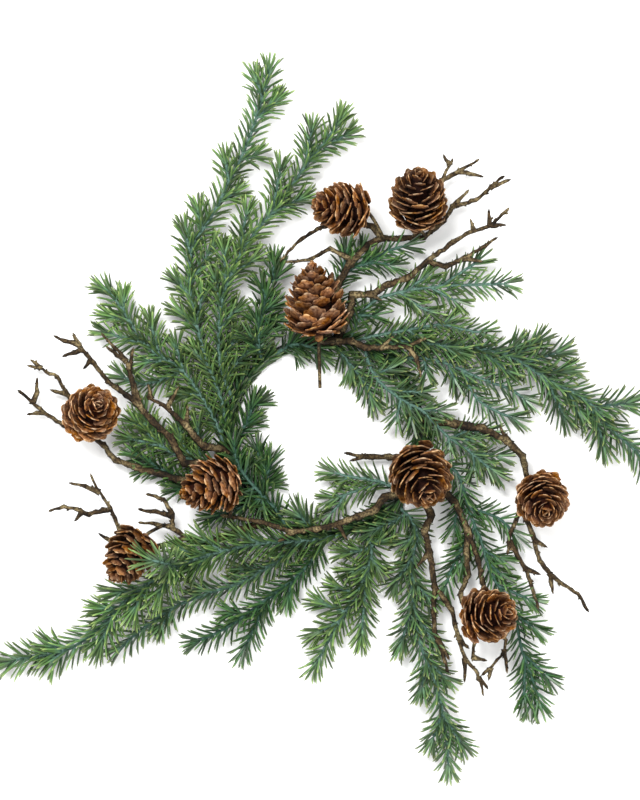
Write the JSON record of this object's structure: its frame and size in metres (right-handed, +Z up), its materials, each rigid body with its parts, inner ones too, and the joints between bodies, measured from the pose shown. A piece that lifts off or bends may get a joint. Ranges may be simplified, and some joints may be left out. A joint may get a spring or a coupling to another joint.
{
  "type": "pinecone wreath",
  "caption": "Open wreath of spruce-like needle sprays, bare forked twigs and cones on a thin wire ring, lying flat with a hole in the middle",
  "frame": {"origin": "on the surface that the wreath lies on, under the middle of its outline", "axes": "+Z up out of the front of the wreath, +Y towards its top as it would hang, +X to its right as seen from the front"},
  "size_m": [0.4672, 0.5102, 0.0687],
  "materials": {
    "needles_green": "moulded needles, satin, mid green with olive tips",
    "needles_deep_green": "moulded needles, satin, deep green",
    "needles_blue_green": "moulded needles, satin, bluish green with frosted stems",
    "twig_bark": "dry brown bark, dull",
    "cone_tan": "dry scales, tan with pale lips",
    "cone_brown": "dry scales, darker red-brown with pale lips",
    "ring_wire": "dark green plastic coating on a steel wire ring"
  },
  "bodies": {
    "root": {"spray_left_long": "needles_green", "spray_top_left": "needles_green", "spray_left_upper": "needles_green", "spray_left_middle": "needles_green", "spray_upper_right": "needles_green", "spray_right_upper": "needles_green", "spray_lower_left_long": "needles_green", "spray_bottom_middle": "needles_green", "spray_inner_bottom": "needles_green", "spray_top_inner": "needles_deep_green", "spray_left_lower": "needles_deep_green", "spray_inner_left_upper": "needles_deep_green", "spray_inner_left_lower": "needles_deep_green", "spray_ring_left": "needles_deep_green", "spray_ring_top": "needles_deep_green", "spray_under_cones": "needles_deep_green", "spray_bottom_left": "needles_deep_green", "spray_bottom_right": "needles_deep_green", "spray_inner_right": "needles_blue_green", "spray_ring_right": "needles_blue_green", "spray_right_long": "needles_blue_green", "spray_right_middle": "needles_blue_green", "spray_lower_left_side": "needles_blue_green", "spray_bottom_long": "needles_blue_green", "twig_lower_left": "twig_bark", "twig_left_low": "twig_bark", "twig_left_high": "twig_bark", "twig_left_inner": "twig_bark", "twig_ring_bottom": "twig_bark", "twig_ring_top": "twig_bark", "twig_inner_stub": "twig_bark", "twig_upper_right": "twig_bark", "twig_right_limb": "twig_bark", "twig_bottom_left": "twig_bark", "twig_bottom_right": "twig_bark", "twig_right": "twig_bark", "cone_top_left": "cone_tan", "cone_ring_top": "cone_tan", "cone_left": "cone_tan", "cone_ring_left": "cone_tan", "cone_right": "cone_tan", "cone_bottom_right": "cone_tan", "cone_top_right": "cone_brown", "cone_lower_left": "cone_brown", "cone_ring_right": "cone_brown", "ring": "ring_wire"}
  },
  "joints": []
}
